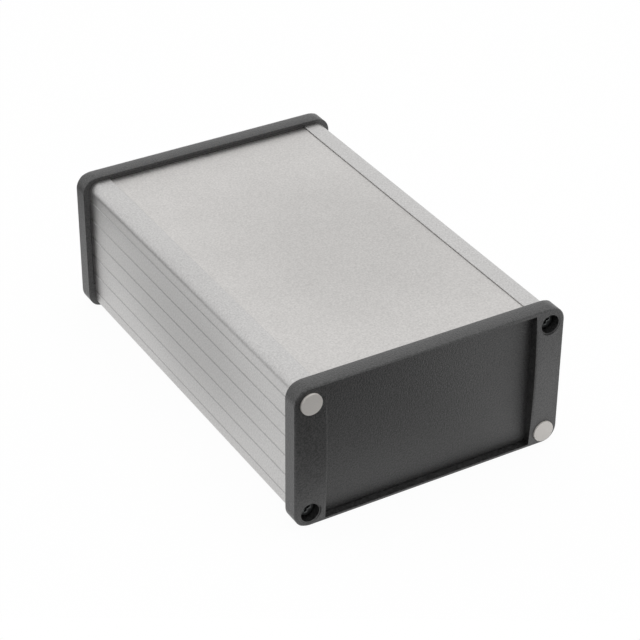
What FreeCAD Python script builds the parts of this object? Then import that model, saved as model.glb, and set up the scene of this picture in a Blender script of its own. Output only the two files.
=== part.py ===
# Extruded aluminium enclosure for a 100 x 160 mm circuit board.
#
# A U-shaped aluminium profile is closed along its top by a sliding plate and at each end by a
# moulded bezel, which holds a plastic panel and takes four screws into ports of the profile.
# Lengths are millimetres. The origin is at the middle of the footprint, +Z is up, and the
# front end faces -Y.
import FreeCAD, Part
import os
import re

import Sketcher
from FreeCAD import Placement, Rotation, Vector

SIZES = {
    # Profile, as sawn to length.
    "body_length": 160.5,
    "body_width": 106.4,
    "body_height": 55.2,
    "body_rise": 2.3,
    "top_corner_radius": 3.75,
    "bottom_corner_radius": 2.0,
    "side_wall": 1.8,
    "floor_wall": 1.8,
    # Lips that hold the cover plate down, and the ledges that carry it.
    "lip_reach": 9.0,
    "lip_thickness": 0.5,
    "ledge_reach": 9.5,
    "ledge_thickness": 1.5,
    # Screw ports in the corners of the profile, from its outer sides, floor and top.
    "port_inset_side": 3.45,
    "port_inset_low": 3.65,
    "port_inset_high": 4.7,
    "port_radius": 1.45,
    "port_block": 3.2,
    "port_slot": 1.3,
    # Fine grooves along the outer sides, and the card guides inside, midway between them.
    "groove_level": 5.7,
    "groove_top_inset": 7.7,
    "groove_count": 6,
    "groove_width": 0.7,
    "groove_floor": 0.2,
    "groove_depth": 0.25,
    "guide_reach": 3.0,
    "guide_rib": 1.2,
    "guide_slot": 2.0,
    # Cover plate.
    "plate_thickness": 1.8,
    "plate_gap": 0.1,
    "plate_side_gap": 0.25,
    # Bezels, which stand out beyond the sides and the top of the profile.
    "side_overhang": 2.8,
    "top_overhang": 1.9,
    "bezel_depth": 6.8,
    "bezel_corner_radius": 6.5,
    "bezel_edge_chamfer": 0.5,
    "strip_width": 12.4,
    "strip_swell": 1.3,
    "strip_bevel_width": 0.7,
    "strip_bevel_drop": 0.3,
    "rim_thickness": 1.55,
    "seat_wall": 2.3,
    # Screw seats in the bezels.
    "block_reach": 5.2,
    "counterbore_radius": 3.7,
    "counterbore_floor": 1.5,
    "screw_hole_radius": 1.95,
    "spot_face_depth": 0.1,
    "spot_face_gap": 0.15,
    # Panels.
    "panel_thickness": 3.8,
    "panel_skin": 2.0,
    "panel_rib": 3.0,
    "panel_gap": 0.2,
    # Screws.
    "screw_head_radius": 3.3,
    "screw_head_height": 2.0,
    "shank_gap": 0.05,
    "screw_length": 12.7,
    "recess_span": 3.6,
    "recess_slot": 0.9,
    "recess_depth": 1.4,
    # Plugs.
    "plug_radius": 4.2,
    "plug_height": 1.0,
    "stem_gap": 0.2,
    "stem_wall": 1.0,
    "stem_length": 2.0,
    "stem_rib_width": 0.8,
    "stem_rib_height": 0.1,
    "stem_rib_count": 4,
}

doc = FreeCAD.newDocument("Enclosure")
sheet = doc.addObject("Spreadsheet::Sheet", "Sizes")
for row, (alias, length) in enumerate(SIZES.items(), start=1):
    sheet.set(f"A{row}", str(length))
    sheet.setAlias(f"A{row}", alias)
doc.recompute()

# Places that several pieces share, written in the names of the sizes above.
BODY_SIDE = "(body_width / 2)"
BODY_TOP = "(body_rise + body_height)"
BEZEL_SIDE = f"({BODY_SIDE} + side_overhang)"
BEZEL_TOP = f"({BODY_TOP} + top_overhang)"
SCREW_X = f"({BODY_SIDE} - port_inset_side)"
SCREW_LOW = "(body_rise + port_inset_low)"
SCREW_HIGH = f"({BODY_TOP} - port_inset_high)"
BLOCK_SIDE = f"({SCREW_X} - port_block)"
LIP_UNDER = "(body_height - lip_thickness)"
LEDGE_TOP = f"({LIP_UNDER} - plate_gap - plate_thickness)"
OPENING_SIDE = f"({BEZEL_SIDE} - strip_width)"
SEAT_SIDE = f"({BEZEL_SIDE} - seat_wall)"
RIM_TOP = f"({BEZEL_TOP} - rim_thickness)"
PLUG_SEAT = "(bezel_depth - spot_face_depth)"
GROOVE_PITCH = "((body_height - groove_level - groove_top_inset) / (groove_count - 1))"

# Places along Y of the two ends of the profile. Pieces fitted at the rear are turned round.
ENDS = {"front": "-body_length / 2", "rear": "body_length / 2"}
CORNERS = {
    "upper_left": (f"-{SCREW_X}", SCREW_HIGH),
    "upper_right": (SCREW_X, SCREW_HIGH),
    "lower_left": (f"-{SCREW_X}", SCREW_LOW),
    "lower_right": (SCREW_X, SCREW_LOW),
}

# Lengths closer than this are taken as equal.
TOLERANCE = 1e-4


def bound(text):
    """Write an expression in the sheet's names as FreeCAD reads it."""
    return re.sub(r"[a-z_]+", lambda word: "Sizes." + word.group(), text)


def number(text):
    """Value of an expression in the sheet's names."""
    return float(sheet.evalExpression(bound(text)))


def opposite(text):
    return f"-({text})"


def near(a, b):
    return abs(a - b) < TOLERANCE


def new_body(label, x="0", y="0", z="0", turned=False):
    """Start a piece, placed from the sheet, and turned round to face the rear if asked."""
    body = doc.addObject("PartDesign::Body", label)
    body.Label = label
    if turned:
        body.Placement = Placement(Vector(), Rotation(Vector(0, 0, 1), 180))
    body.setExpression("Placement.Base.x", bound(x))
    body.setExpression("Placement.Base.y", bound(y))
    body.setExpression("Placement.Base.z", bound(z))
    return body


def new_end_piece(name, end, corner=None):
    """Start a piece on an end of the profile, in line with a screw where it has a corner."""
    turned = end == "rear"
    if corner is None:
        return new_body(f"{end}_{name}", y=ENDS[end], turned=turned)
    x, z = CORNERS[corner]
    return new_body(
        f"{end}_{name}_{corner}", opposite(x) if turned else x, ENDS[end], z, turned
    )


def origin_plane(body, role):
    return next(feature for feature in body.Origin.OriginFeatures if feature.Role == role)


def new_sketch(body, role="XZ_Plane", offset="0"):
    """Sketch on an origin plane, moved along the plane's normal, which is -Y for XZ."""
    sketch = body.newObject("Sketcher::SketchObject", "Sketch")
    sketch.AttachmentSupport = [(origin_plane(body, role), "")]
    sketch.MapMode = "FlatFace"
    sketch.setExpression("AttachmentOffset.Base.z", bound(offset))
    return sketch


def place_vertex(sketch, geometry, vertex, x, y):
    """Tie a vertex of a sketch to the sheet by its distances from the origin."""
    for kind, text in (("DistanceX", x), ("DistanceY", y)):
        constraint = Sketcher.Constraint(kind, -1, 1, geometry, vertex, number(text))
        index = sketch.addConstraint(constraint)
        sketch.setExpression(f"Constraints[{index}]", bound(text))


def polygon(sketch, corners):
    """Closed outline of straight lines through corners given as pairs of expressions."""
    points = [Vector(number(x), number(y), 0) for x, y in corners]
    first = sketch.GeometryCount
    count = len(points)
    for i in range(count):
        sketch.addGeometry(Part.LineSegment(points[i], points[(i + 1) % count]), False)
    for i in range(count):
        following = first + (i + 1) % count
        sketch.addConstraint(Sketcher.Constraint("Coincident", first + i, 2, following, 1))
        place_vertex(sketch, first + i, 1, *corners[i])


def rectangle(sketch, left, bottom, right, top):
    polygon(sketch, [(left, bottom), (right, bottom), (right, top), (left, top)])


def arc(sketch, before, after, bulge, radius):
    """Arc from the end of one line to the start of another, through a point, tied by radius."""
    start = sketch.getPoint(before, 2)
    end = sketch.getPoint(after, 1)
    index = sketch.addGeometry(Part.Arc(start, bulge, end), False)
    from_start = near(sketch.getPoint(index, 1).distanceToPoint(start), 0)
    first, last = (1, 2) if from_start else (2, 1)
    sketch.addConstraint(Sketcher.Constraint("Coincident", index, first, before, 2))
    sketch.addConstraint(Sketcher.Constraint("Coincident", index, last, after, 1))
    constraint = sketch.addConstraint(Sketcher.Constraint("Radius", index, number(radius)))
    sketch.setExpression(f"Constraints[{constraint}]", bound(radius))


def circle(sketch, x, y, radius):
    index = sketch.addGeometry(
        Part.Circle(Vector(number(x), number(y), 0), Vector(0, 0, 1), number(radius)), False
    )
    place_vertex(sketch, index, 3, x, y)
    constraint = sketch.addConstraint(Sketcher.Constraint("Radius", index, number(radius)))
    sketch.setExpression(f"Constraints[{constraint}]", bound(radius))


def pad(body, sketch, length):
    """Add material from the sketch along its normal."""
    feature = body.newObject("PartDesign::Pad", "Pad")
    feature.Profile = sketch
    feature.setExpression("Length", bound(length))
    doc.recompute()
    return feature


def cut(body, sketch, depth=None, along_normal=True):
    """Remove material from the sketch on, to a depth or right through."""
    before = body.Shape.Volume
    feature = body.newObject("PartDesign::Pocket", "Pocket")
    feature.Profile = sketch
    feature.Reversed = along_normal
    if depth is None:
        feature.Type = "ThroughAll"
    else:
        feature.setExpression("Length", bound(depth))
    doc.recompute()
    if not body.Shape.Volume < before:
        raise RuntimeError(f"a cut in {body.Label} removes nothing")
    return feature


def revolve(body, corners):
    """Turn an outline in the XY plane about the Y axis."""
    sketch = new_sketch(body, "XY_Plane")
    polygon(sketch, corners)
    feature = body.newObject("PartDesign::Revolution", "Revolution")
    feature.Profile = sketch
    feature.ReferenceAxis = (sketch, ["V_Axis"])
    feature.Angle = 360
    doc.recompute()
    return feature


def soften(body, kind, test, size):
    """Fillet or chamfer the edges whose bounding box passes the test."""
    base = body.Tip
    names = [
        f"Edge{i}" for i, edge in enumerate(base.Shape.Edges, start=1) if test(edge.BoundBox)
    ]
    feature = body.newObject(f"PartDesign::{kind}", kind)
    feature.Base = (base, names)
    feature.setExpression("Radius" if kind == "Fillet" else "Size", bound(size))
    doc.recompute()


def fillet(body, test, radius):
    soften(body, "Fillet", test, radius)


def finish_pattern(body, feature):
    body.Tip = feature
    doc.recompute()


def repeat_upwards(body, original, count):
    """Repeat a feature up the side of the profile at the pitch of the grooves."""
    pattern = body.newObject("PartDesign::LinearPattern", "LinearPattern")
    pattern.Originals = [original]
    pattern.Direction = (original.Profile[0], ["V_Axis"])
    pattern.Mode = "Spacing"
    pattern.setExpression("Offset", bound(GROOVE_PITCH))
    pattern.setExpression("Occurrences", bound(count))
    finish_pattern(body, pattern)


def along_y(box):
    return near(box.XLength, 0) and near(box.ZLength, 0)


def both_sides(sketch, draw, left, bottom, right, top):
    """Draw a rectangle and its mirror image about the middle of the profile."""
    draw(sketch, left, bottom, right, top)
    draw(sketch, opposite(right), bottom, opposite(left), top)


def make_profile():
    """Sawn length of the extrusion: floor, sides, lips, ledges, ports, grooves and guides."""
    body = new_body("body_extrusion", y="body_length / 2", z="body_rise")
    port_low = f"({SCREW_LOW} - body_rise)"
    port_high = f"({SCREW_HIGH} - body_rise)"

    outline = new_sketch(body)
    rectangle(outline, opposite(BODY_SIDE), "0", BODY_SIDE, "body_height")
    pad(body, outline, "body_length")
    height = number("body_height")
    fillet(body, lambda box: along_y(box) and near(box.ZMax, height), "top_corner_radius")
    fillet(body, lambda box: along_y(box) and near(box.ZMin, 0), "bottom_corner_radius")

    # Right half of the inner outline, from the floor up past the ledge and out under the lip.
    wall = f"{BODY_SIDE} - side_wall"
    ledge = f"{BODY_SIDE} - ledge_reach"
    lip = f"{BODY_SIDE} - lip_reach"
    ledge_under = f"{LEDGE_TOP} - ledge_thickness"
    right_half = [
        (BLOCK_SIDE, "floor_wall"),
        (BLOCK_SIDE, f"{port_low} + port_block"),
        (wall, f"{port_low} + port_block"),
        (wall, f"{port_high} - port_block"),
        (BLOCK_SIDE, f"{port_high} - port_block"),
        (BLOCK_SIDE, ledge_under),
        (ledge, ledge_under),
        (ledge, LEDGE_TOP),
        (BLOCK_SIDE, LEDGE_TOP),
        (BLOCK_SIDE, LIP_UNDER),
        (lip, LIP_UNDER),
        (lip, f"{LIP_UNDER} + 2 * lip_thickness"),
    ]
    left_half = [(opposite(x), z) for x, z in reversed(right_half)]
    cavity = new_sketch(body)
    polygon(cavity, right_half + left_half)
    cut(body, cavity)

    ports = new_sketch(body)
    for level in (port_low, port_high):
        circle(ports, SCREW_X, level, "port_radius")
        circle(ports, opposite(SCREW_X), level, "port_radius")
    cut(body, ports)

    # The die leaves each port open: the lower ones inwards, the upper ones downwards.
    slots = new_sketch(body)
    both_sides(
        slots, rectangle,
        BLOCK_SIDE, f"{port_low} - port_slot / 2", SCREW_X, f"{port_low} + port_slot / 2",
    )
    both_sides(
        slots, rectangle,
        f"{SCREW_X} - port_slot / 2", f"{port_high} - port_block",
        f"{SCREW_X} + port_slot / 2", port_high,
    )
    cut(body, slots)

    grooves = new_sketch(body)
    half_right = [
        (f"{BODY_SIDE} + groove_depth", "groove_level + groove_width"),
        (f"{BODY_SIDE} - groove_depth", "groove_level + groove_floor / 2"),
        (f"{BODY_SIDE} - groove_depth", "groove_level - groove_floor / 2"),
        (f"{BODY_SIDE} + groove_depth", "groove_level - groove_width"),
    ]
    polygon(grooves, half_right)
    polygon(grooves, [(opposite(x), z) for x, z in half_right])
    repeat_upwards(body, cut(body, grooves), "groove_count")

    # A guide is two ribs with a slot between them for the edge of a board.
    guides = new_sketch(body)
    guide_level = f"(groove_level + {GROOVE_PITCH} / 2)"
    for rib_low in (
        f"{guide_level} + guide_slot / 2",
        f"{guide_level} - guide_slot / 2 - guide_rib",
    ):
        both_sides(
            guides, rectangle,
            f"{wall} - guide_reach", rib_low, wall, f"{rib_low} + guide_rib",
        )
    repeat_upwards(body, pad(body, guides, "body_length"), "groove_count - 1")
    return body


def make_cover_plate():
    """Flat plate that lies on the ledges, under the lips."""
    body = new_body("cover_plate", y="body_length / 2", z=f"body_rise + {LEDGE_TOP}")
    sketch = new_sketch(body)
    side = f"({BLOCK_SIDE} - plate_side_gap)"
    rectangle(sketch, opposite(side), "0", side, "plate_thickness")
    pad(body, sketch, "body_length")
    return body


def swell_section(body, x, low, high, rise=None):
    """Section across a strip, whose front bows forward by the rise or is a straight line."""
    sketch = new_sketch(body, "YZ_Plane", x)
    face = "-bezel_depth"
    back = "-bezel_depth + strip_swell"
    polygon(sketch, [(face, high), (back, high), (back, low), (face, low)])
    if rise:
        sketch.toggleConstruction(3)
        crest = Vector(number(f"{face} - {rise}"), number(f"({low} + {high}) / 2"), 0)
        half_chord = f"(({high} - {low}) / 2)"
        arc(sketch, 2, 0, crest, f"({half_chord} ^ 2 + {rise} ^ 2) / (2 * {rise})")
    return sketch


def stepped_outline(sketch, gap):
    """Outline of the panel's seat, stepped round the screw blocks, drawn in by a gap."""
    wide = f"({SEAT_SIDE} - {gap})"
    narrow = f"({SCREW_X} - block_reach - {gap})"
    right_half = [
        (narrow, f"rim_thickness + {gap}"),
        (narrow, f"{SCREW_LOW} + block_reach + {gap}"),
        (wide, f"{SCREW_LOW} + block_reach + {gap}"),
        (wide, f"{SCREW_HIGH} - block_reach - {gap}"),
        (narrow, f"{SCREW_HIGH} - block_reach - {gap}"),
        (narrow, f"{RIM_TOP} - {gap}"),
    ]
    polygon(sketch, right_half + [(opposite(x), z) for x, z in reversed(right_half)])


def make_bezel(end):
    """Moulded frame over the end of the profile, with a swelling strip down each side."""
    body = new_end_piece("bezel", end)
    outline = new_sketch(body)
    rectangle(outline, opposite(BEZEL_SIDE), "0", BEZEL_SIDE, BEZEL_TOP)
    pad(body, outline, "bezel_depth")
    fillet(body, along_y, "bezel_corner_radius")
    front = number("-bezel_depth")
    soften(body, "Chamfer", lambda box: near(box.YMax, front), "bezel_edge_chamfer")

    # Each strip rises from nothing at its outer edge and at the rims to a bow beside the
    # opening. The surface is ruled from that bow to a line along the edge's chamfer, and
    # bevelled on the opening's side.
    bevelled = swell_section(
        body, OPENING_SIDE, "rim_thickness", RIM_TOP, "(strip_swell - strip_bevel_drop)"
    )
    crest = swell_section(
        body, f"{OPENING_SIDE} + strip_bevel_width", "rim_thickness", RIM_TOP, "strip_swell"
    )
    outer = swell_section(
        body, f"{BEZEL_SIDE} - bezel_edge_chamfer",
        "bezel_corner_radius", f"{BEZEL_TOP} - bezel_corner_radius",
    )
    swell = body.newObject("PartDesign::AdditiveLoft", "AdditiveLoft")
    swell.Profile = bevelled
    swell.Sections = [crest, outer]
    swell.Ruled = True
    doc.recompute()
    mirrored = body.newObject("PartDesign::Mirrored", "Mirrored")
    mirrored.Originals = [swell]
    mirrored.MirrorPlane = (origin_plane(body, "YZ_Plane"), [""])
    finish_pattern(body, mirrored)

    # Seat for the panel, open towards the profile, with a block left round each screw.
    seat = new_sketch(body)
    stepped_outline(seat, "0")
    cut(body, seat, "panel_thickness")
    opening = new_sketch(body)
    rectangle(opening, opposite(OPENING_SIDE), "rim_thickness", OPENING_SIDE, RIM_TOP)
    cut(body, opening)

    counterbores = new_sketch(body, offset="counterbore_floor")
    holes = new_sketch(body)
    for x, z in CORNERS.values():
        circle(counterbores, x, z, "counterbore_radius")
        circle(holes, x, z, "screw_hole_radius")
    for x, z in CORNERS.values():
        spot_face = new_sketch(body, offset=PLUG_SEAT)
        circle(spot_face, x, z, "plug_radius + spot_face_gap")
        cut(body, spot_face)
    cut(body, counterbores)
    cut(body, holes)
    return body


def make_panel(end):
    """Plastic panel behind the strips, stepped round the screw blocks and ribbed at the back."""
    body = new_end_piece("panel", end)
    outline = new_sketch(body)
    stepped_outline(outline, "panel_gap")
    pad(body, outline, "panel_thickness")
    hollow = new_sketch(body)
    side = f"({SCREW_X} - block_reach - panel_gap - panel_rib)"
    low = "(rim_thickness + panel_gap + panel_rib)"
    high = f"({RIM_TOP} - panel_gap - panel_rib)"
    rectangle(hollow, opposite(side), low, side, high)
    cut(body, hollow, "panel_thickness - panel_skin")
    return body


def make_screw(end, corner):
    """Screw with a cylindrical head and a cross recess, on the counterbore's floor."""
    body = new_end_piece("screw", end, corner)
    shank = "(port_radius - shank_gap)"
    head_front = "(counterbore_floor + screw_head_height)"
    tip = "(screw_length - counterbore_floor)"
    revolve(body, [
        ("0", opposite(head_front)),
        ("screw_head_radius", opposite(head_front)),
        ("screw_head_radius", "-counterbore_floor"),
        (shank, "-counterbore_floor"),
        (shank, tip),
        ("0", tip),
    ])

    half_span = "(recess_span / 2)"
    half_slot = "(recess_slot / 2)"
    arm = [(half_slot, half_slot), (half_slot, half_span), (opposite(half_slot), half_span)]
    cross = []
    for turned in range(4):
        cross += arm
        arm = [(opposite(y), x) for x, y in arm]
    recess = new_sketch(body, offset=head_front)
    polygon(recess, cross)
    cut(body, recess, "recess_depth", along_normal=False)
    return body


def make_plug(end, corner):
    """Push-in disc over a screw, with a hollow ribbed stem that grips the counterbore."""
    body = new_end_piece("plug", end, corner)
    face = f"({PLUG_SEAT} + plug_height)"
    stem_outside = "(counterbore_radius - stem_gap)"
    stem_inside = f"({stem_outside} - stem_wall)"
    stem_end = f"({PLUG_SEAT} - stem_length)"
    revolve(body, [
        ("0", opposite(face)),
        ("plug_radius", opposite(face)),
        ("plug_radius", f"-{PLUG_SEAT}"),
        (stem_outside, f"-{PLUG_SEAT}"),
        (stem_outside, opposite(stem_end)),
        (stem_inside, opposite(stem_end)),
        (stem_inside, f"-{PLUG_SEAT}"),
        ("0", f"-{PLUG_SEAT}"),
    ])
    rib = new_sketch(body, offset=stem_end)
    rectangle(
        rib, f"{stem_outside} - stem_wall / 2", "-stem_rib_width / 2",
        f"{stem_outside} + stem_rib_height", "stem_rib_width / 2",
    )
    ribs = body.newObject("PartDesign::PolarPattern", "PolarPattern")
    ribs.Originals = [pad(body, rib, "stem_length")]
    ribs.Axis = (rib, ["N_Axis"])
    ribs.Angle = 360
    ribs.setExpression("Occurrences", bound("stem_rib_count"))
    finish_pattern(body, ribs)
    return body


pieces = [make_profile(), make_cover_plate()]
for end in ENDS:
    pieces.append(make_bezel(end))
    pieces.append(make_panel(end))
    for corner in CORNERS:
        pieces.append(make_screw(end, corner))

# The front shows plugs over two of its screws only. The rear has all four.
PLUGGED = {"front": ["upper_left", "lower_right"], "rear": list(CORNERS)}
for end, corners in PLUGGED.items():
    for corner in corners:
        pieces.append(make_plug(end, corner))

doc.recompute()
for item in doc.Objects:
    if any(state in ("Invalid", "Error") for state in item.State):
        raise RuntimeError(f"{item.Name} did not compute: {item.State}")
for piece in pieces:
    if piece.Shape.isNull() or not piece.Shape.isValid():
        raise RuntimeError(f"{piece.Label} has no valid shape")

os.makedirs("parts", exist_ok=True)
for piece in pieces:
    piece.Shape.exportStep(f"parts/{piece.Label}.step")
    box = piece.Shape.BoundBox
    print(f"{piece.Label}: {box.XLength:.2f} x {box.YLength:.2f} x {box.ZLength:.2f} mm")
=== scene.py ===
"""Extruded aluminium enclosure with moulded bezels: its finish, stage and camera."""
import math

import bmesh
import bpy
from bpy.props import FloatProperty, FloatVectorProperty, PointerProperty
from mathutils import Matrix, Vector


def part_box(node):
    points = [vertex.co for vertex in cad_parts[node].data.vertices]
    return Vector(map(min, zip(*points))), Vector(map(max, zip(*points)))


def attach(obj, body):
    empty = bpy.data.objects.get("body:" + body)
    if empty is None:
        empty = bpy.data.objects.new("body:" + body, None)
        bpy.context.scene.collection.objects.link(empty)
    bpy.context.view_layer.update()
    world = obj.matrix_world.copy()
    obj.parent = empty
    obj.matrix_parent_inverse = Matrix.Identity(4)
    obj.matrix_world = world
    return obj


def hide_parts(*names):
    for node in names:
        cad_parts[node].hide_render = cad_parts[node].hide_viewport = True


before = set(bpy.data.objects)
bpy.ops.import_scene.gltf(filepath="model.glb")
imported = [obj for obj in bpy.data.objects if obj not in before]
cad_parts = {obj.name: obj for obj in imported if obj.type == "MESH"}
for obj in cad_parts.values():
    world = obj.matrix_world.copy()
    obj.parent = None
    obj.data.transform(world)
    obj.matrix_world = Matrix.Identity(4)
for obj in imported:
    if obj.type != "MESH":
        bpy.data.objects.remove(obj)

bl_info = {
    "name": "Extruded Aluminium Enclosure",
    "version": (1, 0, 0),
    "blender": (4, 5, 0),
    "location": "View3D > Sidebar > Enclosure",
    "description": "Finishes an enclosure of extruded aluminium with moulded plastic bezels",
    "category": "Object",
}

MM = 0.001
ENDS = ("front", "rear")
CORNERS = ("upper_left", "upper_right", "lower_left", "lower_right")
WHITE = (1, 1, 1, 1)

# Faces that meet at less than FLAT_ANGLE become one face. Edges that turn by more than
# SHARP_ANGLE are rounded, and the shading breaks where faces turn by more than CREASE_ANGLE.
FLAT_ANGLE = math.radians(0.4)
SHARP_ANGLE = math.radians(35)
CREASE_ANGLE = math.radians(40)
MERGE_DISTANCE = 1e-6
CUT_DISTANCE = 1e-7
EDGE_FACETS = 2
LIP_FACETS = 3
# A vertex less than this below the top counts as lying on it.
ON_TOP = 0.01 * MM
# An edge at the top of the profile that is longer than this runs along a lip.
LIP_EDGE = 100 * MM

# Depth of a bezel's outer skin that follows its crown, and the places, as shares of the
# crown's reach, where the skin is cut across so that it can curve.
CROWN_SKIN = 1.5 * MM
CROWN_CUTS = (0.15, 0.3, 0.5, 0.75, 1.0)
# Most that the normal of a face that runs from front to back may lean forwards.
LEAN = 0.01

# The profile's side face, the least depth of a groove in it, and the flat part of its
# height that holds the grooves, as a middle and a reach up and down. Shade is painted into
# the grooves within these. Faces inside the profile lie within these too and get the
# painted shade as well, but the closed case hides them.
SIDE_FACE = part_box("body_extrusion")[1][0]
GROOVE_DEPTH = 0.05 * MM
SIDE_MIDDLE = 29 * MM
SIDE_REACH = 23 * MM

# Values that a noise texture mostly stays between.
NOISE_LOW = 0.3
NOISE_HIGH = 0.7

# Length of the die's streaks, and sizes of the film's clouds and of the etched grain.
STREAK_LENGTH = 350 * MM
CLOUD_SIZE = 18 * MM
ETCH_SIZE = 0.7 * MM
# How far the streaks change the grey, and how strongly the lines stand out.
STREAK_TINT = 0.025
LINE_RELIEF = 0.15
# Centre and reach, in metres, of a spot on each where the colour is darker towards the
# centre. The spot runs from 0 at its rim to 1 at its centre, and is darkened in full from
# SPOT_CORE.
PROFILE_SPOT = ((-0.053, 0.0, 0.033), (0.03, 0.08, 0.032))
PLATE_SPOT = ((0.014, -0.008, 0.0555), (0.07, 0.08, 0.07))
SPOT_CORE = 0.8
# How far the metals' and the plastics' roughness strays below and above its middle.
METAL_STRAY = (0.04, 0.05)
PLASTIC_STRAY = (0.05, 0.05)

# Values of the noise over which the plastic's dark flecks give way to pale ones. Pale
# flecks differ from the plastic's own colour this many times as much as dark ones.
FLECK_LOW = 0.42
FLECK_HIGH = 0.58
PALE_FLECK = 3
# Height of the pebbles against 1 for the dust between them.
PEBBLE_HEIGHT = 0.4
# ABS has an IOR of about 1.54. This is matched to the mouldings' strong sheen.
ABS_IOR = 1.75

# Size of the worn specks on the screws, drawn coarser than real, the tints of whole and
# worn oxide against the steel's colour, and the roughness of each.
WEAR_SIZE = 0.6 * MM
OXIDE_TINT = 0.7
WORN_TINT = 1.4
OXIDE_ROUGHNESS = 0.22
WORN_ROUGHNESS = 0.42

# The camera's place, and where its right side and its lens point.
CAMERA_PLACE = (-0.356728, -0.610831, 0.480134)
CAMERA_RIGHT = (0.862583, -0.505870, 0.006814)
CAMERA_FORWARD = (0.427733, 0.722023, -0.543808)
SENSOR_WIDTH = 36.0
NEAREST_SEEN = 0.01
FARTHEST_SEEN = 20.0

# The softbox hangs over the object and faces it, and its size is in metres.
LAMP_PLACE = (0.05, -0.1, 1.1)
LAMP_SIZE = 1.0

# Share of white in the floor to the eye. The rest is lit paper, which takes the shadow.
FLOOR_WHITENESS = 0.96
# Painted light: the floor's glow in reflections, by place. An axis, two places along it, and
# the brightness before the first and after the second. The two rows add up, to 1 at most.
FLOOR_GLOWS = (
    ("Y", -128 * MM, -88 * MM, 0.27, 0.92),
    ("X", 25 * MM, 75 * MM, 0.0, 0.75),
)

# The level way from the object towards the camera. The room's light changes over two
# ranges of a direction of length 1: how far it rises, and how far it goes that way.
TOWARDS_CAMERA = (-0.51, -0.86, 0.0)
RISE_LOW = -0.4
RISE_HIGH = 0.15
CAMERA_LOW = -0.6
CAMERA_HIGH = 0.4


def colour(text):
    """Linear RGB of an sRGB hex colour."""
    channels = [int(text[i:i + 2], 16) / 255 for i in (1, 3, 5)]
    return tuple(
        c / 12.92 if c <= 0.04045 else ((c + 0.055) / 1.055) ** 2.4 for c in channels
    )


def tinted(base, factor):
    """Colour for a node's socket, paler or deeper than a base colour by a factor."""
    return (*(min(1.0, c * factor) for c in base), 1)


def shade(name, description, text):
    """Colour property whose default is an sRGB hex colour."""
    return FloatVectorProperty(
        name=name, description=description, default=colour(text),
        subtype="COLOR", size=3, min=0.0, max=1.0,
    )


def length(name, description, millimetres):
    """Length property whose default is in millimetres."""
    return FloatProperty(
        name=name, description=description, default=millimetres * MM,
        min=0.0, unit="LENGTH", subtype="DISTANCE", precision=5,
    )


def share(name, description, default):
    """Property that runs from 0 to 1."""
    return FloatProperty(
        name=name, description=description, default=default,
        min=0.0, max=1.0, subtype="FACTOR",
    )


class EdgeSizes(bpy.types.PropertyGroup):
    """How far each kind of piece is rounded along its sharp edges."""

    profile: length("Profile", "Rounding that the die leaves on the profile", 0.15)
    lip: length("Lip", "Rounding along the lips over the cover plate", 0.4)
    plate: length("Plate", "Rounding along the cover plate", 0.3)
    bezel: length("Bezel", "Rounding of the bezels' edges", 0.3)
    crown_reach: length("Crown reach", "How far in the bezels' tops ease down to their edges", 2.8)
    crown_drop: length("Crown drop", "How far the bezels' tops ease down at their edges", 0.3)
    panel: length("Panel", "Rounding round the end panels", 0.15)
    screw: length("Screw", "Rounding of the screw heads", 0.3)
    plug: length("Plug", "Rounding of the plugs' rims", 0.3)


class FinishColours(bpy.types.PropertyGroup):
    """Colours of the metals and plastics."""

    profile: shade("Profile", "Clear anodised extrusion", "#CAC9C8")
    plate: shade("Plate", "Clear anodised plate", "#D0CECC")
    bezel: shade("Bezel", "Moulded bezel plastic", "#191919")
    panel: shade("Panel", "End panel plastic", "#181818")
    plug: shade("Plug", "Screw plug plastic", "#D9D5D0")
    screw: shade("Screw", "Blackened steel", "#6C6E6E")


class StageSettings(bpy.types.PropertyGroup):
    """Floor, softbox, room light and camera."""

    floor_colour: shade("Floor", "Pale floor", "#F4F4F4")
    floor_front: length("Floor in front", "How far the paper reaches towards the camera", 150)
    floor_back: length("Floor behind", "How far the paper reaches away from the camera", 420)
    floor_left: length("Floor to the left", "How far the paper reaches to the left", 168)
    floor_right: length("Floor to the right", "How far the paper reaches to the right", 320)
    top_lamp: FloatProperty(
        name="Top lamp", description="Power of the overhead softbox", default=5.5,
        min=0.0, unit="POWER",
    )
    camera_side: share("Camera side", "Room light from the camera's side, against 1 behind", 0.45)
    underneath: share("Underneath", "Room light from below the horizon, against 1 above it", 0.05)
    focal_length: FloatProperty(
        name="Focal length", description="Lens on a sensor 36 mm wide", default=122.872,
        min=1.0, unit="CAMERA",
    )


GROUPS = {
    "enclosure_edges": EdgeSizes,
    "enclosure_colours": FinishColours,
    "enclosure_stage": StageSettings,
}


def add(tree, kind, inputs=None, **settings):
    """Add a node, set it, and fill its inputs with values or links."""
    node = tree.nodes.new(kind)
    for name, value in settings.items():
        setattr(node, name, value)
    for name, value in (inputs or {}).items():
        if isinstance(value, bpy.types.NodeSocket):
            tree.links.new(value, node.inputs[name])
        else:
            node.inputs[name].default_value = value
    return node


def new_material(name):
    """Material with an empty node tree."""
    material = bpy.data.materials.new(name)
    material.use_nodes = True
    material.node_tree.nodes.clear()
    return material


def finish_material(material, shader):
    """Link a material's last shader to its output."""
    add(material.node_tree, "ShaderNodeOutputMaterial", {"Surface": shader.outputs[0]})
    return material


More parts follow.
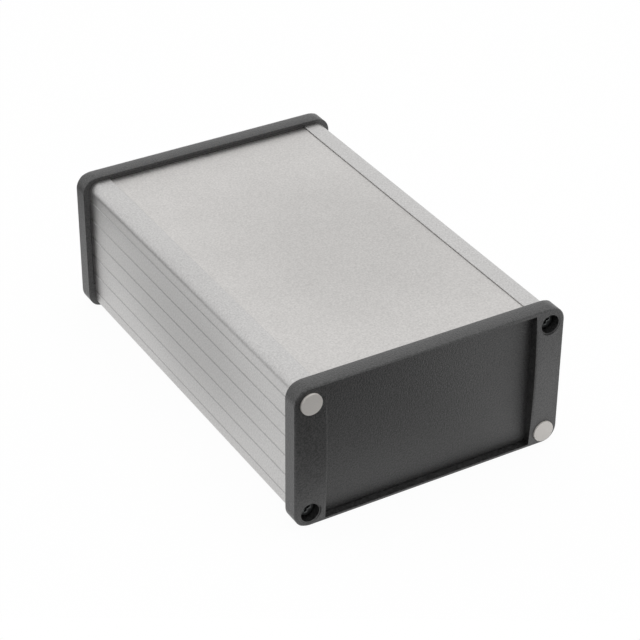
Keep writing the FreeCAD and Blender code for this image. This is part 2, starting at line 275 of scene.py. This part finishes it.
def darker_round_spot(tree, place, centre, reach, spot_darkening):
    """Share of the colour that is left by a round spot that is darker towards its centre."""
    middle = add(tree, "ShaderNodeMapping", {
        "Vector": place, "Location": tuple(-c / r for c, r in zip(centre, reach)),
        "Scale": tuple(1 / r for r in reach),
    })
    spot = add(tree, "ShaderNodeTexGradient", {
        "Vector": middle.outputs[0],
    }, gradient_type="SPHERICAL")
    return add(tree, "ShaderNodeMapRange", {
        "Value": spot.outputs["Fac"], "From Min": 0.0, "From Max": SPOT_CORE,
        "To Min": 1.0, "To Max": 1.0 - spot_darkening,
    }, interpolation_type="SMOOTHSTEP")


def painted_shade_in_grooves(tree, place, groove_shade):
    """Share of the colour left by shade painted into the grooves of the profile's sides."""
    level = add(tree, "ShaderNodeSeparateXYZ", {0: place})
    sideways = add(tree, "ShaderNodeMath", {0: level.outputs["X"]}, operation="ABSOLUTE")
    sunk = add(tree, "ShaderNodeMath", {
        0: sideways.outputs[0], 1: SIDE_FACE - GROOVE_DEPTH,
    }, operation="LESS_THAN")
    on_side = add(tree, "ShaderNodeMath", {
        0: level.outputs["Z"], 1: SIDE_MIDDLE, 2: SIDE_REACH,
    }, operation="COMPARE")
    grooved = add(tree, "ShaderNodeMath", {
        0: sunk.outputs[0], 1: on_side.outputs[0],
    }, operation="MULTIPLY")
    return add(tree, "ShaderNodeMath", {
        0: grooved.outputs[0], 1: -groove_shade, 2: 1.0,
    }, operation="MULTIPLY_ADD")


def drawn_aluminium(
    name, base, line_pitch, line_depth, roughness, mottle, satin, spot_darkening, dark_spot,
    groove_shade=0.0,
):
    """Aluminium with fine lines along its length, etched and clear anodised.

    The die or the rolls draw the lines, which blur reflections across them. The etch
    before anodising leaves a satin grain, drawn coarser than real so that it shows at a
    step away, and its film clouds the grey a little. The colour is darker by a share
    round a spot's centre and within its reach. Shade is painted into the grooves of the
    sides, and groove_shade says how much it darkens them.
    """
    material = new_material(name)
    tree = material.node_tree
    place = add(tree, "ShaderNodeTexCoord").outputs["Object"]
    pitches = 1 / (line_pitch * MM)
    along = add(tree, "ShaderNodeMapping", {
        "Vector": place, "Scale": (pitches, 1 / STREAK_LENGTH, pitches),
    })
    lines = add(tree, "ShaderNodeTexNoise", {
        "Vector": along.outputs[0], "Scale": 1.0, "Detail": 3.0, "Roughness": 0.6,
    })
    clouds = add(tree, "ShaderNodeTexNoise", {
        "Vector": place, "Scale": 1 / CLOUD_SIZE, "Detail": 4.0, "Roughness": 0.55,
    })
    clouded = add(tree, "ShaderNodeMix", {
        "Factor": clouds.outputs["Fac"],
        "A": tinted(base, 1 - mottle), "B": tinted(base, 1 + mottle),
    }, data_type="RGBA")
    streaks = add(tree, "ShaderNodeMapRange", {
        "Value": lines.outputs["Fac"], "From Min": NOISE_LOW, "From Max": NOISE_HIGH,
        "To Min": 1.0 - STREAK_TINT, "To Max": 1.0 + STREAK_TINT,
    })
    etch = add(tree, "ShaderNodeTexNoise", {
        "Vector": place, "Scale": 1 / ETCH_SIZE, "Detail": 2.0, "Roughness": 0.6,
    })
    sheen = add(tree, "ShaderNodeMapRange", {
        "Value": etch.outputs["Fac"], "From Min": NOISE_LOW, "From Max": NOISE_HIGH,
        "To Min": 1.0 - satin, "To Max": 1.0 + satin,
    })
    changes = [sheen, darker_round_spot(tree, place, *dark_spot, spot_darkening)]
    if groove_shade:
        changes.append(painted_shade_in_grooves(tree, place, groove_shade))
    tone = streaks
    for change in changes:
        tone = add(tree, "ShaderNodeMath", {
            0: tone.outputs[0], 1: change.outputs[0],
        }, operation="MULTIPLY")
    grey = add(tree, "ShaderNodeVectorMath", {
        0: clouded.outputs["Result"], 1: tone.outputs[0],
    }, operation="MULTIPLY")
    gloss = add(tree, "ShaderNodeMapRange", {
        "Value": lines.outputs["Fac"], "From Min": NOISE_LOW, "From Max": NOISE_HIGH,
        "To Min": roughness - METAL_STRAY[0], "To Max": roughness + METAL_STRAY[1],
    })
    relief = add(tree, "ShaderNodeBump", {
        "Height": lines.outputs["Fac"], "Strength": LINE_RELIEF, "Distance": line_depth * MM,
    })
    shader = add(tree, "ShaderNodeBsdfPrincipled", {
        "Base Color": grey.outputs[0], "Metallic": 1.0, "Roughness": gloss.outputs[0],
        "Normal": relief.outputs[0],
    })
    return finish_material(material, shader)


def moulded_plastic(name, base, grain, grain_depth, roughness, fleck):
    """ABS moulded against a spark-eroded tool.

    The tool leaves a pebbled grain, drawn coarser than real so that it shows at a step away.
    It breaks the gloss into a soft sheen and gives dark plastic its speckled look.
    """
    material = new_material(name)
    tree = material.node_tree
    place = add(tree, "ShaderNodeTexCoord").outputs["Object"]
    pebbles = add(tree, "ShaderNodeTexVoronoi", {
        "Vector": place, "Scale": 1 / (grain * MM), "Randomness": 1.0,
    }, feature="SMOOTH_F1")
    dust = add(tree, "ShaderNodeTexNoise", {
        "Vector": place, "Scale": 1 / (grain * MM), "Detail": 3.0, "Roughness": 0.7,
    })
    spread = add(tree, "ShaderNodeMapRange", {
        "Value": dust.outputs["Fac"], "From Min": FLECK_LOW, "From Max": FLECK_HIGH,
    })
    flecked = add(tree, "ShaderNodeMix", {
        "Factor": spread.outputs[0],
        "A": tinted(base, 1 - fleck), "B": tinted(base, 1 + PALE_FLECK * fleck),
    }, data_type="RGBA")
    gloss = add(tree, "ShaderNodeMapRange", {
        "Value": dust.outputs["Fac"], "From Min": NOISE_LOW, "From Max": NOISE_HIGH,
        "To Min": roughness - PLASTIC_STRAY[0], "To Max": roughness + PLASTIC_STRAY[1],
    })
    pebbled = add(tree, "ShaderNodeMath", {
        0: pebbles.outputs["Distance"], 1: PEBBLE_HEIGHT, 2: dust.outputs["Fac"],
    }, operation="MULTIPLY_ADD")
    relief = add(tree, "ShaderNodeBump", {
        "Height": pebbled.outputs[0], "Strength": 1.0, "Distance": grain_depth * MM,
    })
    shader = add(tree, "ShaderNodeBsdfPrincipled", {
        "Base Color": flecked.outputs["Result"], "Roughness": gloss.outputs[0],
        "IOR": ABS_IOR, "Normal": relief.outputs[0],
    })
    return finish_material(material, shader)


def blackened_steel(base):
    """Steel screw with a black oxide finish, oiled, so that its edges glint in deep shade.

    The oxide is worn in fine specks, which show a paler metal.
    """
    material = new_material("black_oxide_turned_steel")
    tree = material.node_tree
    place = add(tree, "ShaderNodeTexCoord").outputs["Object"]
    wear = add(tree, "ShaderNodeTexNoise", {
        "Vector": place, "Scale": 1 / WEAR_SIZE, "Detail": 4.0, "Roughness": 0.6,
    })
    worn = add(tree, "ShaderNodeMix", {
        "Factor": wear.outputs["Fac"],
        "A": tinted(base, OXIDE_TINT), "B": tinted(base, WORN_TINT),
    }, data_type="RGBA")
    gloss = add(tree, "ShaderNodeMapRange", {
        "Value": wear.outputs["Fac"], "To Min": OXIDE_ROUGHNESS, "To Max": WORN_ROUGHNESS,
    })
    shader = add(tree, "ShaderNodeBsdfPrincipled", {
        "Base Color": worn.outputs["Result"], "Metallic": 1.0, "Roughness": gloss.outputs[0],
    })
    return finish_material(material, shader)


def finish_piece(piece, body, material, slot, *nodes):
    """Give a piece its material and stand it in for the nodes that it is made over."""
    piece.data.materials.clear()
    piece.data.materials.append(material)
    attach(piece, body)
    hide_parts(*nodes)


def soften(shape, edges, width, facets):
    """Round edges of a mesh."""
    bmesh.ops.bevel(
        shape, geom=edges, offset=width, offset_type="OFFSET", segments=facets, profile=0.5,
        affect="EDGES", clamp_overlap=True, material=-1,
    )


def sharp_edges(shape):
    """Edges between two faces that turn sharply."""
    return [
        edge for edge in shape.edges
        if len(edge.link_faces) == 2 and edge.calc_face_angle() > SHARP_ANGLE
    ]


def edge_softened(node, width, shape_first=None):
    """Copy of a node with its sharp edges rounded, as tools and moulds leave them.

    A function may be given that shapes the mesh before its edges are rounded.
    """
    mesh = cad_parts[node].data.copy()
    mesh.name = node + "_soft"
    piece = bpy.data.objects.new(node + "_soft", mesh)
    bpy.context.scene.collection.objects.link(piece)
    shape = bmesh.new()
    shape.from_mesh(mesh)
    bmesh.ops.remove_doubles(shape, verts=shape.verts, dist=MERGE_DISTANCE)
    bmesh.ops.dissolve_limit(
        shape, angle_limit=FLAT_ANGLE, verts=shape.verts, edges=shape.edges,
        use_dissolve_boundaries=False, delimit=set(),
    )
    if shape_first:
        shape_first(shape)
    soften(shape, sharp_edges(shape), width, EDGE_FACETS)
    for face in shape.faces:
        face.smooth = True
    shape.to_mesh(mesh)
    shape.free()
    mesh.set_sharp_from_angle(angle=CREASE_ANGLE)
    weighted = piece.modifiers.new("Weighted Normal", "WEIGHTED_NORMAL")
    weighted.keep_sharp = True
    return piece


def ease_lips(shape, width):
    """Round the upper edges of the two lips, where the plate was slid in under them."""
    top = max(vertex.co.z for vertex in shape.verts)
    lips = [
        edge for edge in sharp_edges(shape)
        if edge.calc_length() > LIP_EDGE
        and min(vertex.co.z for vertex in edge.verts) > top - ON_TOP
    ]
    soften(shape, lips, width, LIP_FACETS)


class ENCLOSURE_OT_profile(bpy.types.Operator):
    """Finish the extruded profile with its die lines and clear anodising"""

    bl_idname = "enclosure.profile"
    bl_label = "Profile"

    def execute(self, context):
        scene = context.scene
        # Shade is painted into the grooves of the sides.
        metal = drawn_aluminium(
            "clear_anodised_extruded_aluminium", scene.enclosure_colours.profile,
            line_pitch=0.45, line_depth=0.02, roughness=0.4, mottle=0.03, satin=0.14, spot_darkening=0.2,
            dark_spot=PROFILE_SPOT, groove_shade=0.24,
        )
        edges = scene.enclosure_edges
        piece = edge_softened(
            "body_extrusion", edges.profile, lambda shape: ease_lips(shape, edges.lip)
        )
        finish_piece(piece, "housing", metal, "profile_aluminium", "body_extrusion")
        return {"FINISHED"}


class ENCLOSURE_OT_cover(bpy.types.Operator):
    """Finish the flat plate that slides in under the lips"""

    bl_idname = "enclosure.cover"
    bl_label = "Cover plate"

    def execute(self, context):
        scene = context.scene
        metal = drawn_aluminium(
            "clear_anodised_rolled_aluminium", scene.enclosure_colours.plate,
            line_pitch=0.7, line_depth=0.01, roughness=0.42, mottle=0.05, satin=0.11, spot_darkening=0.1,
            dark_spot=PLATE_SPOT,
        )
        piece = edge_softened("cover_plate", scene.enclosure_edges.plate)
        finish_piece(piece, "housing", metal, "plate_aluminium", "cover_plate")
        return {"FINISHED"}


def outer_skin(shape, middle):
    """Faces of a bezel's top and bottom that face away from its middle height."""
    faces = []
    for face in shape.faces:
        height = face.calc_center_median().z - middle
        runs_back = abs(face.normal.y) < LEAN
        if runs_back and abs(height) > middle - CROWN_SKIN and face.normal.z * height > 0:
            faces.append(face)
    return faces


def crown(shape, reach, drop):
    """Ease the top and bottom of a bezel down towards the edges that run across them."""
    top = max(vertex.co.z for vertex in shape.verts)
    middle = top / 2
    depths = [vertex.co.y for vertex in shape.verts if vertex.co.z > top - ON_TOP]
    near, far = min(depths), max(depths)
    for cut in CROWN_CUTS:
        for place in (near + cut * reach, far - cut * reach):
            skin = outer_skin(shape, middle)
            around = {edge for face in skin for edge in face.edges}
            corners = {vertex for face in skin for vertex in face.verts}
            bmesh.ops.bisect_plane(
                shape, geom=[*corners, *around, *skin], dist=CUT_DISTANCE,
                plane_co=(0, place, 0), plane_no=(0, 1, 0),
            )
    for vertex in shape.verts:
        inside = min(vertex.co.y - near, far - vertex.co.y)
        ease = min(max(1 - inside / reach, 0.0), 1.0) ** 2
        height = vertex.co.z - middle
        outside = min(max((abs(height) - middle + CROWN_SKIN) / CROWN_SKIN, 0.0), 1.0)
        follow = outside * outside * (3 - 2 * outside)
        vertex.co.z -= math.copysign(drop * ease * follow, height)


class ENCLOSURE_OT_bezels(bpy.types.Operator):
    """Finish the moulded frames with their swelling side strips"""

    bl_idname = "enclosure.bezels"
    bl_label = "Bezels"

    def execute(self, context):
        scene = context.scene
        plastic = moulded_plastic(
            "grained_moulded_abs_grey", scene.enclosure_colours.bezel,
            grain=0.6, grain_depth=0.2, roughness=0.36, fleck=0.95,
        )
        edges = scene.enclosure_edges
        for end in ENDS:
            piece = edge_softened(
                f"{end}_bezel", edges.bezel,
                lambda shape: crown(shape, edges.crown_reach, edges.crown_drop),
            )
            finish_piece(piece, "housing", plastic, "bezel_plastic", f"{end}_bezel")
        return {"FINISHED"}


class ENCLOSURE_OT_panels(bpy.types.Operator):
    """Finish the plain panels set back inside the bezels"""

    bl_idname = "enclosure.panels"
    bl_label = "End panels"

    def execute(self, context):
        scene = context.scene
        plastic = moulded_plastic(
            "grained_moulded_abs_black", scene.enclosure_colours.panel,
            grain=0.6, grain_depth=0.2, roughness=0.36, fleck=0.95,
        )
        for end in ENDS:
            piece = edge_softened(f"{end}_panel", scene.enclosure_edges.panel)
            finish_piece(piece, "housing", plastic, "panel_plastic", f"{end}_panel")
        return {"FINISHED"}


class ENCLOSURE_OT_screws(bpy.types.Operator):
    """Finish the cross-recess screws deep in the counterbores"""

    bl_idname = "enclosure.screws"
    bl_label = "Screws"

    def execute(self, context):
        scene = context.scene
        steel = blackened_steel(scene.enclosure_colours.screw)
        for end in ENDS:
            for corner in CORNERS:
                node = f"{end}_screw_{corner}"
                piece = edge_softened(node, scene.enclosure_edges.screw)
                finish_piece(piece, "housing", steel, "screw_steel", node)
        return {"FINISHED"}


class ENCLOSURE_OT_plugs(bpy.types.Operator):
    """Finish the push-in plugs that cover the screws"""

    bl_idname = "enclosure.plugs"
    bl_label = "Screw plugs"

    def execute(self, context):
        scene = context.scene
        plastic = moulded_plastic(
            "smooth_moulded_abs_light_grey", scene.enclosure_colours.plug,
            grain=0.25, grain_depth=0.004, roughness=0.42, fleck=0.015,
        )
        plugs = [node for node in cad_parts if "_plug_" in node]
        for node in plugs:
            piece = edge_softened(node, scene.enclosure_edges.plug)
            finish_piece(piece, node, plastic, "plug_plastic", node)
        return {"FINISHED"}


class ENCLOSURE_OT_stage(bpy.types.Operator):
    """Lay the pale floor, light the room, hang the softbox and set the camera"""

    bl_idname = "enclosure.stage"
    bl_label = "Stage and camera"

    def execute(self, context):
        scene = context.scene
        stage = scene.enclosure_stage
        self.lay_floor(scene, stage)
        self.light_world(scene, stage)
        self.hang_softbox(scene, stage)
        self.set_camera(scene, stage)
        scene.view_settings.view_transform = "Standard"
        return {"FINISHED"}

    def lay_floor(self, scene, stage):
        """Sheet square to the camera, white to the eye, that still takes the shadow."""
        across = Vector((CAMERA_RIGHT[0], CAMERA_RIGHT[1], 0)).normalized()
        away = Vector((CAMERA_FORWARD[0], CAMERA_FORWARD[1], 0)).normalized()
        left, right = -stage.floor_left, stage.floor_right
        front, back = -stage.floor_front, stage.floor_back
        shape = bmesh.new()
        shape.faces.new([
            shape.verts.new(across * side + away * reach)
            for side, reach in ((left, front), (right, front), (right, back), (left, back))
        ])
        mesh = bpy.data.meshes.new("floor")
        shape.to_mesh(mesh)
        shape.free()
        floor = bpy.data.objects.new("floor", mesh)
        scene.collection.objects.link(floor)
        floor.data.materials.append(self.white_paper(stage.floor_colour))

    def white_paper(self, base):
        """Matt paper, white to the eye, with painted light in reflections that varies by place."""
        material = new_material("matt_white_paper")
        tree = material.node_tree
        paper = add(tree, "ShaderNodeBsdfDiffuse", {"Color": (*base, 1)})
        path = add(tree, "ShaderNodeLightPath")
        place = add(tree, "ShaderNodeTexCoord").outputs["Object"]
        spread = add(tree, "ShaderNodeSeparateXYZ", {0: place})
        beside, under = [
            add(tree, "ShaderNodeMapRange", {
                "Value": spread.outputs[axis], "From Min": start, "From Max": end,
                "To Min": before, "To Max": after,
            }, interpolation_type="SMOOTHSTEP")
            for axis, start, end, before, after in FLOOR_GLOWS
        ]
        # The painted pool of light, seen only in reflections of the floor.
        lit = add(tree, "ShaderNodeMath", {
            0: beside.outputs[0], 1: under.outputs[0],
        }, operation="ADD", use_clamp=True)
        through = add(tree, "ShaderNodeMath", {
            0: path.outputs["Is Camera Ray"], 1: path.outputs["Is Transmission Ray"],
        }, operation="ADD")
        whiteness = add(tree, "ShaderNodeMath", {
            0: through.outputs[0], 1: FLOOR_WHITENESS, 2: path.outputs["Is Glossy Ray"],
        }, operation="MULTIPLY_ADD")
        strength = add(tree, "ShaderNodeMath", {
            0: through.outputs[0], 1: lit.outputs[0],
        }, operation="MAXIMUM")
        white = add(tree, "ShaderNodeEmission", {
            "Color": WHITE, "Strength": strength.outputs[0],
        })
        seen = add(tree, "ShaderNodeMixShader", {
            0: whiteness.outputs[0], 1: paper.outputs[0], 2: white.outputs[0],
        })
        return finish_material(material, seen)

    def light_world(self, scene, stage):
        """White behind the object, dimmer where the camera stands and below the horizon."""
        world = bpy.data.worlds.new("studio")
        scene.world = world
        world.use_nodes = True
        tree = world.node_tree
        tree.nodes.clear()
        direction = add(tree, "ShaderNodeTexCoord").outputs["Generated"]
        towards_camera = add(tree, "ShaderNodeVectorMath", {
            0: direction, 1: TOWARDS_CAMERA,
        }, operation="DOT_PRODUCT")
        upright = add(tree, "ShaderNodeSeparateXYZ", {0: direction})
        sky = add(tree, "ShaderNodeMapRange", {
            "Value": upright.outputs["Z"], "From Min": RISE_LOW, "From Max": RISE_HIGH,
            "To Min": stage.underneath, "To Max": 1.0,
        }, interpolation_type="SMOOTHSTEP")
        behind = add(tree, "ShaderNodeMapRange", {
            "Value": towards_camera.outputs["Value"],
            "From Min": CAMERA_LOW, "From Max": CAMERA_HIGH,
            "To Min": 1.0, "To Max": stage.camera_side,
        }, interpolation_type="SMOOTHSTEP")
        level = add(tree, "ShaderNodeMath", {
            0: sky.outputs[0], 1: behind.outputs[0],
        }, operation="MULTIPLY")
        room = add(tree, "ShaderNodeBackground", {
            "Color": WHITE, "Strength": level.outputs[0],
        })
        white = add(tree, "ShaderNodeBackground", {"Color": WHITE, "Strength": 1.0})
        path = add(tree, "ShaderNodeLightPath")
        through = add(tree, "ShaderNodeMath", {
            0: path.outputs["Is Camera Ray"], 1: path.outputs["Is Transmission Ray"],
        }, operation="ADD")
        whiteness = add(tree, "ShaderNodeMath", {
            0: path.outputs["Is Glossy Ray"], 1: level.outputs[0], 2: through.outputs[0],
        }, operation="MULTIPLY_ADD")
        seen = add(tree, "ShaderNodeMixShader", {
            0: whiteness.outputs[0], 1: room.outputs[0], 2: white.outputs[0],
        })
        add(tree, "ShaderNodeOutputWorld", {"Surface": seen.outputs[0]})

    def hang_softbox(self, scene, stage):
        """Square lamp overhead that neither the eye nor a reflection sees."""
        light = bpy.data.lights.new("top_softbox", "AREA")
        light.shape = "SQUARE"
        light.size = LAMP_SIZE
        light.energy = stage.top_lamp
        lamp = bpy.data.objects.new("top_softbox", light)
        scene.collection.objects.link(lamp)
        place = Vector(LAMP_PLACE)
        lamp.location = place
        lamp.rotation_euler = (-place).to_track_quat("-Z", "Y").to_euler()
        lamp.visible_camera = False
        lamp.visible_glossy = False

    def set_camera(self, scene, stage):
        """Camera at the photograph's viewing angle."""
        lens = bpy.data.cameras.new("camera")
        lens.sensor_width = SENSOR_WIDTH
        lens.lens = stage.focal_length
        lens.clip_start = NEAREST_SEEN
        lens.clip_end = FARTHEST_SEEN
        camera = bpy.data.objects.new("camera", lens)
        scene.collection.objects.link(camera)
        right, forward = Vector(CAMERA_RIGHT), Vector(CAMERA_FORWARD)
        turn = Matrix((right, right.cross(forward), -forward)).transposed().to_4x4()
        camera.matrix_world = Matrix.Translation(CAMERA_PLACE) @ turn
        scene.camera = camera


OPERATORS = (
    ENCLOSURE_OT_profile,
    ENCLOSURE_OT_cover,
    ENCLOSURE_OT_bezels,
    ENCLOSURE_OT_panels,
    ENCLOSURE_OT_screws,
    ENCLOSURE_OT_plugs,
    ENCLOSURE_OT_stage,
)


class ENCLOSURE_PT_sidebar(bpy.types.Panel):
    """Lists the sizes, colours and steps of the enclosure"""

    bl_idname = "ENCLOSURE_PT_sidebar"
    bl_label = "Enclosure"
    bl_space_type = "VIEW_3D"
    bl_region_type = "UI"
    bl_category = "Enclosure"

    def draw(self, context):
        layout = self.layout
        for name in GROUPS:
            group = getattr(context.scene, name)
            box = layout.box()
            for field in group.__annotations__:
                box.prop(group, field)
        for operator in OPERATORS:
            layout.operator(operator.bl_idname)


CLASSES = (*GROUPS.values(), *OPERATORS, ENCLOSURE_PT_sidebar)


def register():
    for item in CLASSES:
        bpy.utils.register_class(item)
    for name, group in GROUPS.items():
        setattr(bpy.types.Scene, name, PointerProperty(type=group))


def unregister():
    for name in GROUPS:
        delattr(bpy.types.Scene, name)
    for item in reversed(CLASSES):
        bpy.utils.unregister_class(item)


def main():
    register()
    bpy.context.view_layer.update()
    bpy.ops.enclosure.profile()
    bpy.ops.enclosure.cover()
    bpy.ops.enclosure.bezels()
    bpy.ops.enclosure.panels()
    bpy.ops.enclosure.screws()
    bpy.ops.enclosure.plugs()
    bpy.ops.enclosure.stage()


if __name__ == "__main__":
    main()
